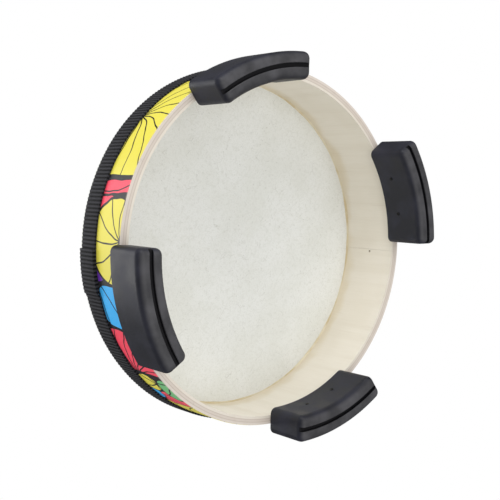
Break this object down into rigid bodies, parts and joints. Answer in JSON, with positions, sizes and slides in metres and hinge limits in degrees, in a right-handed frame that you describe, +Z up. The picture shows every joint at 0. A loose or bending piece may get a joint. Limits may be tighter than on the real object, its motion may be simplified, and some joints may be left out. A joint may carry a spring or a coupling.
{
  "type": "frame drum",
  "caption": "Child's shallow frame drum: a bent plywood shell with a printed wrap, a film head under a webbing band, and moulded rubber feet on the open rim.",
  "frame": {"origin": "middle of the four feet, on the surface that the drum stands on", "axes": "+Z up along the drum's axis, from the feet to the head; the feet stand near the diagonals between X and Y"},
  "size_m": [0.2576, 0.2576, 0.0844],
  "materials": {
    "plywood": "bare sanded birch plywood, unvarnished",
    "printed_sheet": "satin vinyl sheet printed with bright leaf and petal shapes in black outlines",
    "head_film": "matt off-white fibre film with fine dark specks",
    "webbing": "black ribbed polypropylene webbing",
    "rubber": "satin black moulded rubber",
    "glue": "dried amber wood glue",
    "steel": "blackened steel wire nails"
  },
  "bodies": {
    "root": {"shell_inner_ply": "plywood", "shell_core_ply": "plywood", "shell_outer_ply": "plywood", "seam_pin": "steel", "printed_wrap": "printed_sheet", "drum_head": "head_film", "head_glue_bead": "glue", "edge_webbing": "webbing", "foot_1": "rubber", "foot_1_nails": "steel", "foot_2": "rubber", "foot_2_nails": "steel", "foot_3": "rubber", "foot_3_nails": "steel", "foot_4": "rubber", "foot_4_nails": "steel"}
  },
  "joints": []
}
